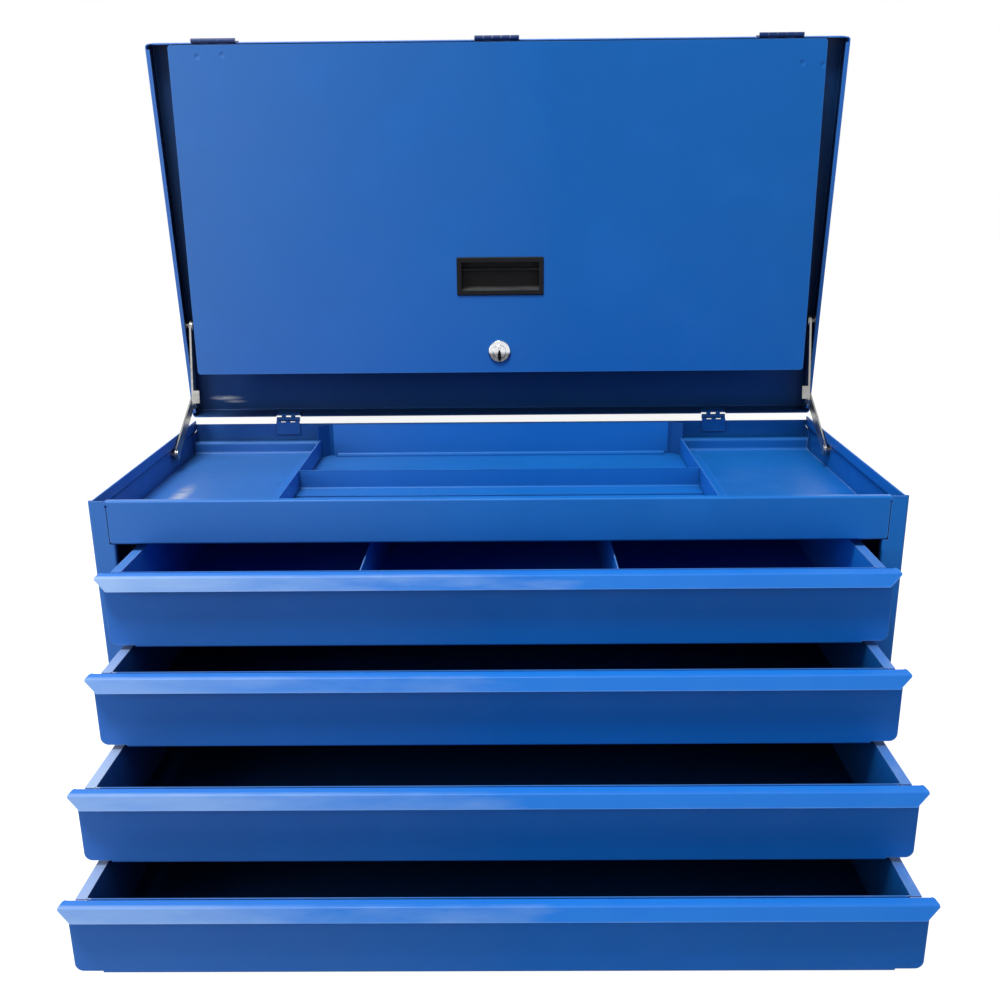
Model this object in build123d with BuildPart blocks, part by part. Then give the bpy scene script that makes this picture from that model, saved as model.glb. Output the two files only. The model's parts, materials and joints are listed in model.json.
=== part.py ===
"""Portable steel tool box: four drawers under an open top tray, and a lid from which a front flap hangs.

Millimetres.  X runs to the right, Y to the back, Z up.  The origin is the middle of the base, on the
surface that the box stands on.  The box is modelled as it stands open: the lid held up by its two stays,
the flap hanging from the lid's front edge, and each drawer pulled out a little further than the one above.
"""

import os
from math import atan2, cos, degrees, hypot, radians, sin

from build123d import *

os.makedirs("parts", exist_ok=True)

# ---------------------------------------------------------------- driving sizes

body_width = 660.0
body_depth = 360.0
body_height = 307.0
wall = 1.2  # cabinet and lid sheet
bend_radius = 2.0  # outside radius of the sheet bends
flap_sheet = 1.0
drawer_sheet = 1.0

# cabinet
stile_width = 18.5
stile_return = 7.0
rail_height = 36.0
rail_stile_cover = 14.0  # width of the stile beside the rail
rail_top_depth = 8.0
rail_foot_depth = 8.0
rail_seam = 0.6  # cut between the rail and the stile, up to a round hole
rail_seam_drop = 4.5  # from the rim to that hole
rail_seam_hole = 1.2
rail_corner = 3.0
rail_tab = (14.0, 24.0)  # the tabs welded behind the seams: beyond each side of it, and their height
sill_height = 11.5
rim_inset = 2.5  # the rim of each side steps in below the lid
rim_band = 12.0
rim_step = 3.0  # height over which it does
rim_start = 4.0  # from the front face to where it begins
back_flange = 12.0
back_top_drop = 3.5  # the back ends below the rims of the sides
bottom_flange = 10.0
bottom_setback = 1.0  # between the stiles' edges and the bottom's

# top tray
tray_ledge_rise = 11.6
tray_ledge_depth = 9.0
tray_ledge_return = 10.0
tray_bend_radius = 3.2
side_bay = 140.3  # from each side to its divider
divider_drop = 15.0  # from the rim down to the dividers' tops
cross_divider_back = 181.5  # from the back face to the cross divider
foot_width = 20.0
cross_foot_width = 29.0
back_plate_gap = 23.0  # from the back face to the plate's web
back_plate_end = 11.5  # how far its splayed ends come forward
back_plate_lap = 3.0  # and how far they reach outside the dividers
back_plate_foot = 8.0
divider_end_gap = 1.0
back_plate_rim_gap = 0.5
flap_clearance = 2.0  # at least, between the hanging flap and the plate

# drawers, from the top down
drawer_pulls = (60.2, 108.9, 173.9, 221.0)  # how far each front stands before the body
first_drawer_drop = 43.0  # from the rim to the first lip's tip
last_drawer_clear = 14.0  # from the base to the last front
drawer_front_gap = 6.0  # between one front and the next lip's tip
drawer_side_clear = 6.0  # from the opening to the fronts
drawer_set_back = 16.0  # closed front behind the front plane
drawer_travel = 262.0  # from closed to the stop
drawer_back_clear = 10.0
slide_space = 19.8  # from the opening to the drawers' sides
drawer_floor_gap = 8.0  # from one tray's floor to the next tray's rim
runner_flange = 6.8
lip_overhang = 3.0  # the lip's tips stand beyond the front
lip_low_inset = 7.5  # and its lower corners within it
lip_reach = 9.0
lip_lean = 4.5
lip_drop = 10.5
lip_fold = 3.0  # the lip's blank starts this far below its top
drawer_rim_rise = 1.5  # the front's top edge and the tray's flanges stand above the lip's tip
front_foot = 8.0
front_foot_inset = 20.0
front_foot_drop = 2.0
front_corner = 6.0
compartment_walls = (-109.0, 95.0)
compartment_drop = 8.0  # their tops below the tray's
compartment_tab = 10.0

# drawer slides
slide_gap = 0.9
slide_rest_gap = 0.3
slide_head_room = 1.5
slide_side_gap = 1.5
slide_back_gap = 20.0
slide_front_gap = 4.0
carrier_width = 30.0
carrier_foot = 8.0
carrier_ends = 26.0  # from each end of the slides to the carrier's near wall
carrier_start = 12.0  # above the base

# lid
lid_depth = 24.0
lid_gap = 1.0
lid_lip = 2.7
lid_front_rise = 5.5  # the front flange stops above the flap's hinge line
lid_open_angle = 82.6

# hinges
hinge_inset = 102.5  # from the side to the hinge's middle
hinge_width = 25.0
hinge_back = 2.6  # axis behind the back face
hinge_rise = 0.5
hinge_radius = 2.4
leaf_height = 13.0
leaf = 1.2
leaf_notch = 4.0
hinge_pin_radius = 1.2
running_gap = 0.05
knuckle_gap = 0.3

# flap
flap_side_gap = 20.75  # from the body's side to the flap's edge
flap_low_gap = 2.8  # from the base to the closed flap
flap_hinge_inset = 43.25
flap_hinge_width = 42.0
flap_hinge_radius = 2.0
flap_axis_rise = 3.5
flap_top_gap = 3.5
flap_hem = 9.0
flap_leaf_height = 16.0
flap_corner = 3.0

# pull handle in the flap
pull_width = 86.5
pull_height = 36.5
pull_centre = 93.9  # above the flap's lower edge
pull_shift = 1.4
pull_rim = 3.2
pull_proud = 1.6
pull_bevel = 1.0
pull_depth = 13.0
pull_wall = 1.4
pull_slope = 2.6  # rise of the cup's floor from the front to the back
pull_rib = (5.0, 2.4, 4.0)  # above the centre, its height, and its distance behind the rim

# lock
lock_centre = 20.7
lock_face_radius = 11.0
lock_barrel_radius = 8.0
lock_face_proud = 2.5
plug_radius = 6.5
plug_proud = 0.8
keyway = (1.6, 7.5)
nut_radius = 11.0
nut_depth = 2.8
cam_length = 20.5
cam_width = 12.0
cam_sheet = 1.8

# lid stays: pivots from the back face and the rim, and in the lid from its hinge
stay_pivot_back = 98.0
stay_pivot_drop = 16.0
stay_lower_length = 89.0
stay_upper_length = 79.8
stay_stud_radius = 98.0
stay_stud_angle = 7.0  # above the lid's edge plane
stay_width = 12.0
stay_sheet = 2.0
stay_side_gap = 3.2  # from the side's inner face to the lower bar
stay_bar_gap = 0.2
stay_bend_gap = 0.7
stay_rivet_radius = 3.0
stay_head_radius = 5.2
stay_head = 1.2
stay_flat_head = 0.3
stay_stud_gap = 0.4
stay_tab_reach = 6.2
stay_tab_length = 13.0

# carry handles on the sides
grip_height = 206.0
grip_span = 104.0
grip_drop = 42.0
grip_wire = 4.0
grip_corner = 12.0
grip_end = 17.0
barrel_length = 13.0
saddle_size = (26.0, 24.0)
saddle_sheet = 1.5

# ---------------------------------------------------------------- places worked out from the sizes

half_width = body_width / 2
front_y = -body_depth / 2
back_y = body_depth / 2
rim_z = body_height
inside_x = half_width - wall
rail_end_x = half_width - rail_stile_cover
opening_x = half_width - stile_width
back_top_z = rim_z - back_top_drop
tray_floor_z = rim_z - rail_height + 2 * wall  # on the rail's foot
divider_top_z = rim_z - divider_drop
hinge_y = back_y + hinge_back
hinge_z = rim_z + hinge_rise
lid_edge_z = rim_z + lid_gap
lid_top_z = lid_edge_z + lid_depth
hinge_x = half_width - hinge_inset
divider_x = inside_x - side_bay
back_plate_x = divider_x + back_plate_lap
back_plate_web_x = back_plate_x - back_plate_end + wall
closed_front_y = front_y + drawer_set_back
slide_y = closed_front_y + slide_front_gap
drawer_front_width = 2 * (opening_x - drawer_side_clear)
lip_width = drawer_front_width + 2 * lip_overhang
lip_low_width = drawer_front_width - 2 * lip_low_inset
drawer_width = 2 * (opening_x - slide_space)
drawer_length = body_depth - drawer_set_back - drawer_back_clear
tray_side_x = drawer_width / 2
slide_web_x = tray_side_x + runner_flange + slide_gap
carrier_x = slide_web_x + wall
slide_length = back_y - slide_back_gap - slide_y

drawer_count = len(drawer_pulls)
drawer_pitch = (rim_z - first_drawer_drop - last_drawer_clear + drawer_front_gap) / drawer_count
drawer_front_height = drawer_pitch - drawer_front_gap
drawer_height = drawer_pitch - drawer_floor_gap
drawer_tops = [rim_z - first_drawer_drop - n * drawer_pitch for n in range(drawer_count)]


def opened(part):
    """The part of a closed lid, turned to where it is on the open one."""
    return part.rotate(Axis((0, hinge_y, hinge_z), (1, 0, 0)), -lid_open_angle)


def opened_point(y, z):
    """A point of the closed lid, as y and z on the open one."""
    a = radians(lid_open_angle)
    dy, dz = y - hinge_y, z - hinge_z
    return hinge_y + dy * cos(a) + dz * sin(a), hinge_z - dy * sin(a) + dz * cos(a)


flap_line_y = front_y - flap_hinge_radius - 0.1  # the flap's hinge line on the closed box
flap_line_z = rim_z + flap_axis_rise
flap_y, flap_z = opened_point(flap_line_y, flap_line_z)  # and where it is with the lid open
flap_width = body_width - 2 * flap_side_gap
flap_height = flap_line_z - flap_top_gap - flap_low_gap
flap_top_z = flap_z - flap_top_gap
flap_low_z = flap_top_z - flap_height
flap_hinge_x = flap_width / 2 - flap_hinge_inset
flap_places = (-flap_hinge_x, 0.0, flap_hinge_x)


def save(piece, name):
    """Write a finished piece under its node name."""
    piece.part.label = name
    export_step(piece.part, f"parts/{name}.step")
    print(f"{name:34s} {piece.part.volume:10.0f} mm3")


def block(x, y, z, mode=Mode.ADD):
    """A box in the current part, from its low and high x, y and z."""
    with Locations(((x[0] + x[1]) / 2, (y[0] + y[1]) / 2, (z[0] + z[1]) / 2)):
        Box(x[1] - x[0], y[1] - y[0], z[1] - z[0], mode=mode)


def rod(radius, centre, length, along="X", mode=Mode.ADD):
    """A cylinder in the current part, by its centre, length and direction."""
    turn = {"X": (0, 90, 0), "Y": (90, 0, 0), "Z": (0, 0, 0)}[along]
    with Locations(centre):
        Cylinder(radius, length, rotation=turn, mode=mode)


def strip(plane, points, thickness, side, length, radius=bend_radius):
    """A bent sheet: its section on the plane, drawn out along the plane's normal."""
    with BuildPart() as bent:
        with BuildSketch(plane):
            with BuildLine():
                if len(points) > 2:
                    FilletPolyline(*points, radius=radius)
                else:
                    Polyline(*points)
                offset(amount=thickness, side=side)
            make_face()
        extrude(amount=length)
    return bent.part


# ---------------------------------------------------------------- cabinet

stile_y = front_y + rim_start
rim_x = half_width - rim_inset
step_z = rim_z - rim_band

with BuildPart() as side_panel_right:
    side_line = [(half_width, 0), (half_width, step_z), (rim_x, step_z + rim_step), (rim_x, rim_z)]
    add(strip(Plane.XZ.offset(-back_y), side_line, wall, Side.LEFT, back_y - stile_y))
    stile_line = [(half_width, stile_y), (half_width, front_y), (opening_x, front_y),
                  (opening_x, front_y + stile_return)]
    add(strip(Plane.XY, stile_line, wall, Side.RIGHT, rim_z - rail_height))
    upper_line = [(half_width, stile_y), (half_width, front_y), (rail_end_x, front_y)]
    add(strip(Plane.XY.offset(rim_z - rail_height), upper_line, wall, Side.RIGHT, rail_height))
    block((rim_x - wall, half_width), (stile_y - wall, stile_y), (step_z, rim_z))
    rod(rail_seam_hole, (rail_end_x - rail_seam / 2, front_y, rim_z - rail_seam_drop), 3 * wall, "Y", Mode.SUBTRACT)
save(side_panel_right, "side_panel_right")

with BuildPart() as side_panel_left:
    mirror(side_panel_right.part, about=Plane.YZ)
save(side_panel_left, "side_panel_left")

bottom_y = front_y + stile_return + bottom_setback

with BuildPart() as bottom_panel:
    block((-inside_x, inside_x), (bottom_y, back_y - wall), (0, wall))
    sill_line = [(bottom_y + 1, 0), (front_y, 0), (front_y, sill_height)]
    add(strip(Plane.YZ.offset(-opening_x), sill_line, wall, Side.RIGHT, 2 * opening_x))
    for x in ((-inside_x, -inside_x + wall), (inside_x - wall, inside_x)):
        block(x, (bottom_y, back_y - back_flange - bottom_setback), (0, bottom_flange))
save(bottom_panel, "bottom_panel")

with BuildPart() as back_panel:
    with BuildSketch(Plane.XZ.offset(-back_y)):
        with BuildLine() as outline:
            Polyline((0, wall), (inside_x, wall), (inside_x, step_z - 1), (rim_x - wall, step_z + rim_step - 1),
                     (rim_x - wall, back_top_z), (0, back_top_z))
            mirror(outline.line, about=Plane.YZ)
        make_face()
    extrude(amount=wall)
    for x in ((-inside_x, -inside_x + wall), (inside_x - wall, inside_x)):
        block(x, (back_y - back_flange, back_y - wall / 2), (wall, step_z - 1))
save(back_panel, "back_panel")

with BuildPart() as top_rail:
    rail_line = [(front_y + rail_top_depth, rim_z - 4), (front_y + rail_top_depth, rim_z), (front_y, rim_z),
                 (front_y, rim_z - rail_height), (front_y + rail_foot_depth, rim_z - rail_height)]
    add(strip(Plane.YZ.offset(-rail_end_x), rail_line, wall, Side.LEFT, 2 * rail_end_x, 1.8))
    seam_z = rim_z - rail_seam_drop
    for s in (-1, 1):
        block(sorted((s * (rail_end_x - rail_seam), s * (rail_end_x + 1))), (front_y - 1, front_y + rail_top_depth + 1),
              (rim_z - rail_height - 1, seam_z), Mode.SUBTRACT)
        rod(rail_seam_hole, (s * (rail_end_x - rail_seam / 2), front_y, seam_z), 3 * wall, "Y", Mode.SUBTRACT)
        corner_x = rail_end_x - rail_seam - rail_corner
        with BuildSketch(Plane.XZ.offset(-front_y - rail_foot_depth - 1)):
            with Locations((s * (corner_x + rail_corner / 2 + 1), rim_z - rail_height + rail_corner / 2 - 1)):
                Rectangle(rail_corner + 2, rail_corner + 2)
            with Locations((s * corner_x, rim_z - rail_height + rail_corner)):
                Circle(rail_corner, mode=Mode.SUBTRACT)
        extrude(amount=rail_foot_depth + 2, mode=Mode.SUBTRACT)
        block(sorted((s * (rail_end_x - rail_seam / 2 - rail_tab[0]), s * (half_width - bend_radius - wall))),
              (front_y + wall, front_y + 2 * wall), (seam_z - 2 - rail_tab[1], seam_z - 2))
save(top_rail, "top_rail")

# ---------------------------------------------------------------- top tray

ledge_z = tray_floor_z + tray_ledge_rise + wall
riser_y = back_y - wall - tray_ledge_depth - wall

with BuildPart() as tray_floor:
    tray_line = [(front_y + 2 * wall, tray_floor_z), (riser_y, tray_floor_z), (riser_y, ledge_z),
                 (back_y - wall, ledge_z), (back_y - wall, ledge_z - tray_ledge_return)]
    add(strip(Plane.YZ.offset(-inside_x), tray_line, wall, Side.RIGHT, 2 * inside_x, tray_bend_radius))
    for x in ((-inside_x - 1, -inside_x + wall + 0.2), (inside_x - wall - 0.2, inside_x + 1)):
        block(x, (back_y - back_flange - 0.2, back_y), (tray_floor_z - 2, ledge_z + 1), Mode.SUBTRACT)
save(tray_floor, "tray_floor")

divider_back_y = back_y - back_plate_gap - back_plate_end - divider_end_gap

with BuildPart() as tray_divider_right:
    foot_line = [(divider_x + foot_width, tray_floor_z), (divider_x, tray_floor_z), (divider_x, divider_top_z)]
    add(strip(Plane.XZ.offset(-divider_back_y), foot_line, wall, Side.RIGHT, divider_back_y - front_y - 2, 1.8))
save(tray_divider_right, "tray_divider_right")

with BuildPart() as tray_divider_left:
    mirror(tray_divider_right.part, about=Plane.YZ)
save(tray_divider_left, "tray_divider_left")

cross_y = back_y - cross_divider_back

with BuildPart() as tray_cross_divider:
    cross_line = [(cross_y - cross_foot_width, tray_floor_z), (cross_y + wall, tray_floor_z), (cross_y + wall, divider_top_z)]
    add(strip(Plane.YZ.offset(-divider_x), cross_line, wall, Side.LEFT, 2 * divider_x, tray_bend_radius))
save(tray_cross_divider, "tray_cross_divider")

plate_y = back_y - back_plate_gap
plate_top_z = min(rim_z - back_plate_rim_gap, flap_low_z - flap_clearance)

with BuildPart() as tray_back_plate:
    plate_line = [(-back_plate_x, plate_y - back_plate_end), (-back_plate_web_x, plate_y + wall),
                  (back_plate_web_x, plate_y + wall), (back_plate_x, plate_y - back_plate_end)]
    add(strip(Plane.XY.offset(tray_floor_z), plate_line, wall, Side.RIGHT, plate_top_z - tray_floor_z))
    plate_foot = [(plate_y - back_plate_foot, tray_floor_z), (plate_y + wall, tray_floor_z),
                  (plate_y + wall, tray_floor_z + back_plate_foot)]
    foot_half = back_plate_web_x - back_plate_foot
    add(strip(Plane.YZ.offset(-foot_half), plate_foot, wall, Side.LEFT, 2 * foot_half, tray_bend_radius))
save(tray_back_plate, "tray_back_plate")

# ---------------------------------------------------------------- drawer slides

with BuildPart() as slide_carriers_right:
    for near in (slide_y + carrier_ends, slide_y + slide_length - carrier_ends - carrier_width):
        far = near + carrier_width
        hat = [(inside_x, near - carrier_foot), (inside_x, near), (carrier_x + wall, near), (carrier_x + wall, far),
               (inside_x, far), (inside_x, far + carrier_foot)]
        add(strip(Plane.XY.offset(carrier_start), hat, wall, Side.LEFT, tray_floor_z - wall - carrier_start))
save(slide_carriers_right, "slide_carriers_right")

with BuildPart() as slide_carriers_left:
    mirror(slide_carriers_right.part, about=Plane.YZ)
save(slide_carriers_left, "slide_carriers_left")

for n, tip_z in enumerate(drawer_tops, 1):
    flange_z = tip_z + drawer_rim_rise
    low = flange_z - drawer_sheet - slide_rest_gap - wall
    high = flange_z + slide_head_room + wall
    edge = tray_side_x + slide_side_gap
    channel = [(edge, low), (carrier_x, low), (carrier_x, high), (edge, high)]
    with BuildPart() as drawer_rail_right:
        add(strip(Plane.XZ.offset(-slide_y - slide_length), channel, wall, Side.LEFT, slide_length, 1.8))
    save(drawer_rail_right, f"drawer_rail_right_{n}")
    with BuildPart() as drawer_rail_left:
        mirror(drawer_rail_right.part, about=Plane.YZ)
    save(drawer_rail_left, f"drawer_rail_left_{n}")

# ---------------------------------------------------------------- drawers

for n, (tip_z, pull) in enumerate(zip(drawer_tops, drawer_pulls), 1):
    face_y = front_y - pull
    top_z = tip_z + drawer_rim_rise
    low_z = tip_z - drawer_front_height
    half_front = drawer_front_width / 2
    half_lip = lip_width / 2
    with BuildPart() as drawer_front:
        with BuildSketch(Plane.XZ.offset(-face_y - drawer_sheet)):
            with BuildLine():
                FilletPolyline((-half_front, top_z - lip_fold), (-half_front, low_z), (half_front, low_z),
                               (half_front, top_z - lip_fold), radius=front_corner)
                Line((half_front, top_z - lip_fold), (-half_front, top_z - lip_fold))
            make_face()
        extrude(amount=drawer_sheet)
        lip_line = [(face_y, top_z - 2 * lip_fold), (face_y, top_z - drawer_sheet),
                    (face_y - lip_reach + drawer_sheet, tip_z - drawer_sheet),
                    (face_y - lip_reach - lip_lean + drawer_sheet, tip_z - lip_drop)]
        add(strip(Plane.YZ.offset(-half_front), lip_line, drawer_sheet, Side.RIGHT, 2 * half_front, 1.0))
        for x in (-half_lip, half_front - 1):
            add(strip(Plane.YZ.offset(x), lip_line[1:], drawer_sheet, Side.RIGHT, half_lip - half_front + 1, 1.0))
        for s in (-1, 1):
            with BuildSketch(Plane.XZ.offset(-face_y + 2)):
                Polygon((s * (half_lip + 1), tip_z - 1.5), (s * half_lip, tip_z - 1.5),
                        (s * lip_low_width / 2, tip_z - lip_drop - 1), (s * (half_lip + 1), tip_z - lip_drop - 1),
                        align=None)
            extrude(amount=20, mode=Mode.SUBTRACT)
            with BuildSketch(Plane.XY.offset(tip_z - 3)):
                Polygon((s * half_front, face_y + 2), (s * half_front, face_y), (s * (half_front + 1.5), face_y - 1.5),
                        (s * half_lip, face_y - lip_reach + 1.5), (s * (half_lip + 2), face_y - lip_reach + 1.5),
                        (s * (half_lip + 2), face_y + 2), align=None)
            extrude(amount=8, mode=Mode.SUBTRACT)
        return_line = [(face_y, low_z + 4), (face_y, low_z - front_foot_drop),
                       (face_y + front_foot + drawer_sheet, low_z - front_foot_drop)]
        foot_x = half_front - front_foot_inset
        add(strip(Plane.YZ.offset(-foot_x), return_line, drawer_sheet, Side.LEFT, 2 * foot_x, 1.5))
    save(drawer_front, f"drawer_{n}_front")

    wall_y = face_y + drawer_sheet
    tail_y = wall_y + drawer_length - drawer_sheet
    with BuildPart() as drawer_tray:
        with BuildSketch(Plane.XY.offset(top_z - drawer_height)):
            with Locations((0, (wall_y + tail_y) / 2)):
                RectangleRounded(drawer_width, tail_y - wall_y, 3)
        extrude(amount=drawer_height)
        with BuildSketch(Plane.XY.offset(top_z - drawer_height + drawer_sheet)):
            with Locations((0, (wall_y + tail_y) / 2)):
                RectangleRounded(drawer_width - 2 * drawer_sheet, tail_y - wall_y - 2 * drawer_sheet, 2)
        extrude(amount=drawer_height, mode=Mode.SUBTRACT)
        for s in (-1, 1):
            xs = sorted((s * (tray_side_x - drawer_sheet / 2), s * (tray_side_x + runner_flange)))
            block(xs, (wall_y, tail_y - 3), (top_z - drawer_sheet, top_z))
    save(drawer_tray, f"drawer_{n}_tray")

    if n == 1:
        for side_name, x in zip(("left", "right"), compartment_walls):
            floor_z = top_z - drawer_height + drawer_sheet
            with BuildPart() as drawer_divider:
                tab_x = x + compartment_tab
                ends = [(tab_x, wall_y + drawer_sheet), (x, wall_y + drawer_sheet), (x, tail_y - drawer_sheet),
                        (tab_x, tail_y - drawer_sheet)]
                add(strip(Plane.XY.offset(floor_z), ends, drawer_sheet, Side.RIGHT,
                          drawer_height - compartment_drop, 1.5))
            save(drawer_divider, f"drawer_1_divider_{side_name}")

# ---------------------------------------------------------------- lid

front_edge_z = lid_edge_z + lid_front_rise + 0.5

with BuildPart() as lid_closed:
    with BuildSketch(Plane.XY.offset(lid_edge_z)):
        RectangleRounded(body_width, body_depth, 3.2)
    extrude(amount=lid_depth)
    fillet(lid_closed.faces().sort_by(Axis.Z)[-1].edges(), 2.2)
    with BuildPart(mode=Mode.SUBTRACT) as lid_hollow:
        with BuildSketch(Plane.XY.offset(lid_edge_z - 1)):
            RectangleRounded(body_width - 2 * wall, body_depth - 2 * wall, 2)
        extrude(amount=lid_depth + 1 - wall)
        fillet(lid_hollow.faces().sort_by(Axis.Z)[-1].edges(), 1.0)
    block((-inside_x + 3, inside_x - 3), (front_y - 1, front_y + 4), (lid_edge_z - 1, front_edge_z), Mode.SUBTRACT)
    for x in ((-inside_x - 0.2, -inside_x + lid_lip), (inside_x - lid_lip, inside_x + 0.2)):
        block(x, (front_y + 5, back_y - 5), (lid_edge_z, lid_edge_z + wall))
    for x in (-hinge_x, hinge_x):
        notch = hinge_width / 2 + 0.5
        block((x - notch, x + notch), (back_y - 3, back_y + 1), (lid_edge_z - 1, lid_edge_z + leaf_notch),
              Mode.SUBTRACT)

with BuildPart() as lid_shell:
    add(opened(lid_closed.part))
save(lid_shell, "lid_shell")


def knuckles(x, width, shares, y, z, radius, hole):
    """Tube lengths along X about one line: the shares numbered here, of five."""
    with BuildPart() as tubes:
        for k in shares:
            length = width / 5
            rod(radius, (x - width / 2 + (k + 0.5) * length, y, z), length - knuckle_gap)
        rod(hole, (x, y, z), width + 2, mode=Mode.SUBTRACT)
    return tubes.part


def rear_leaf(x, shares, up, hole):
    """A leaf on the inner face of the back or the lid, crossing out to its knuckles behind."""
    with BuildPart() as plate:
        inner = back_y - wall - leaf
        far = up * (hinge_radius - leaf)
        near = up * hinge_radius
        z = sorted((hinge_z + near, hinge_z + up * (hinge_radius + leaf_height)))
        block((x - hinge_width / 2, x + hinge_width / 2), (inner, inner + leaf), z)
        for k in shares:
            length = hinge_width / 5
            centre = x - hinge_width / 2 + (k + 0.5) * length
            span = (centre - (length - knuckle_gap) / 2, centre + (length - knuckle_gap) / 2)
            block(span, (inner, hinge_y), sorted((hinge_z + far, hinge_z + near)))
        add(knuckles(x, hinge_width, shares, hinge_y, hinge_z, hinge_radius, hinge_pin_radius))
        rod(hole, (x, hinge_y, hinge_z), hinge_width + 2, mode=Mode.SUBTRACT)
    return plate.part


for side_name, s in (("left", -1), ("right", 1)):
    with BuildPart() as body_leaf:
        add(rear_leaf(s * hinge_x, (0, 2, 4), -1, hinge_pin_radius))
    save(body_leaf, f"lid_hinge_body_leaf_{side_name}")
    with BuildPart() as lid_leaf:
        add(opened(rear_leaf(s * hinge_x, (1, 3), 1, hinge_pin_radius + running_gap)))
    save(lid_leaf, f"lid_hinge_lid_leaf_{side_name}")

with BuildPart() as lid_hinge_pins:
    for s in (-1, 1):
        rod(hinge_pin_radius, (s * hinge_x, hinge_y, hinge_z), hinge_width)
save(lid_hinge_pins, "lid_hinge_pins")

# ---------------------------------------------------------------- flap hinges

with BuildPart() as lid_leaves:
    for x in flap_places:
        low = flap_line_z + flap_hinge_radius + 0.4
        block((x - flap_hinge_width / 2, x + flap_hinge_width / 2), (front_y - leaf, front_y),
              (low, flap_line_z + flap_leaf_height))
        for k in (0, 2, 4):
            length = flap_hinge_width / 5
            centre = x - flap_hinge_width / 2 + (k + 0.5) * length
            span = (centre - (length - knuckle_gap) / 2, centre + (length - knuckle_gap) / 2)
            block(span, (front_y - leaf, front_y - 0.1), (flap_line_z, low + 0.2))
        add(knuckles(x, flap_hinge_width, (0, 2, 4), flap_line_y, flap_line_z, flap_hinge_radius,
                     hinge_pin_radius + running_gap))
        rod(hinge_pin_radius + running_gap, (x, flap_line_y, flap_line_z), flap_hinge_width + 2,
            mode=Mode.SUBTRACT)
with BuildPart() as flap_hinge_lid_leaves:
    add(opened(lid_leaves.part))
save(flap_hinge_lid_leaves, "flap_hinge_lid_leaves")

with BuildPart() as flap_hinge_pins:
    for x in flap_places:
        rod(hinge_pin_radius, (x, flap_y, flap_z), flap_hinge_width)
save(flap_hinge_pins, "flap_hinge_pins")

sheet_back_y = flap_y + 0.3  # the flap's sheet hangs on its hinge line
sheet_front_y = sheet_back_y - flap_sheet

with BuildPart() as flap_hinge_flap_leaves:
    for x in flap_places:
        top = flap_z - flap_hinge_radius - 0.4
        block((x - flap_hinge_width / 2, x + flap_hinge_width / 2), (sheet_back_y, sheet_back_y + leaf),
              (flap_z - flap_leaf_height, top))
        for k in (1, 3):
            length = flap_hinge_width / 5
            centre = x - flap_hinge_width / 2 + (k + 0.5) * length
            span = (centre - (length - knuckle_gap) / 2, centre + (length - knuckle_gap) / 2)
            block(span, (sheet_back_y, sheet_back_y + leaf), (top - 0.2, flap_z))
        add(knuckles(x, flap_hinge_width, (1, 3), flap_y, flap_z, flap_hinge_radius,
                     hinge_pin_radius + running_gap))
        rod(hinge_pin_radius + running_gap, (x, flap_y, flap_z), flap_hinge_width + 2, mode=Mode.SUBTRACT)
save(flap_hinge_flap_leaves, "flap_hinge_flap_leaves")

# ---------------------------------------------------------------- flap, its pull handle and its lock

pull_z = flap_low_z + pull_centre
pull_hole = (pull_width - 2 * pull_rim, pull_height - 2 * pull_rim)
lock_z = flap_low_z + lock_centre
half_flap = flap_width / 2

with BuildPart() as flap_panel:
    with BuildSketch(Plane.XZ.offset(-sheet_back_y)):
        with Locations((0, (flap_top_z + flap_low_z) / 2)):
            RectangleRounded(flap_width, flap_height, flap_corner)
        with Locations((pull_shift, pull_z)):
            Rectangle(*pull_hole, mode=Mode.SUBTRACT)
        with Locations((0, lock_z)):
            Circle(lock_barrel_radius, mode=Mode.SUBTRACT)
    extrude(amount=flap_sheet)
    hem_y = (sheet_back_y, sheet_back_y + flap_sheet)
    for x in ((-half_flap, -half_flap + flap_hem), (half_flap - flap_hem, half_flap)):
        block(x, hem_y, (flap_low_z + flap_corner, flap_top_z - flap_corner))
    block((-half_flap + flap_corner, half_flap - flap_corner), hem_y, (flap_low_z, flap_low_z + 7))
save(flap_panel, "flap_panel")

cup_back_y = sheet_front_y + pull_depth - pull_wall
cup_low_z = pull_z - pull_hole[1] / 2 + pull_wall

with BuildPart() as flap_handle:
    with BuildSketch(Plane.XZ.offset(-sheet_front_y)):
        with Locations((pull_shift, pull_z)):
            RectangleRounded(pull_width, pull_height, 1.2)
    extrude(amount=pull_proud)
    chamfer(flap_handle.faces().sort_by(Axis.Y)[0].edges(), pull_bevel)
    with BuildSketch(Plane.XZ.offset(-sheet_front_y - pull_depth)):
        with Locations((pull_shift, pull_z)):
            Rectangle(*pull_hole)
    extrude(amount=pull_depth)
    with BuildSketch(Plane.XZ.offset(-cup_back_y)):
        with Locations((pull_shift, pull_z)):
            Rectangle(pull_hole[0] - 2 * pull_wall, pull_hole[1] - 2 * pull_wall)
    extrude(amount=pull_depth + pull_proud, mode=Mode.SUBTRACT)
    with BuildSketch(Plane.YZ.offset(pull_shift - pull_hole[0] / 2 + pull_wall / 2)):
        Polygon((sheet_front_y - pull_proud / 2, cup_low_z), (cup_back_y, cup_low_z + pull_slope),
                (cup_back_y + pull_wall / 2, cup_low_z + pull_slope), (cup_back_y + pull_wall / 2, cup_low_z - pull_wall / 2),
                (sheet_front_y - pull_proud / 2, cup_low_z - pull_wall / 2), align=None)
        with Locations((sheet_front_y + pull_rib[2], pull_z + pull_rib[0] + pull_rib[1] / 2)):
            RectangleRounded(3.0, pull_rib[1], 0.8)
    extrude(amount=pull_hole[0] - pull_wall)
save(flap_handle, "flap_handle")

lock_face_y = sheet_front_y - lock_face_proud
barrel_back_y = sheet_back_y + nut_depth + 0.4

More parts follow.
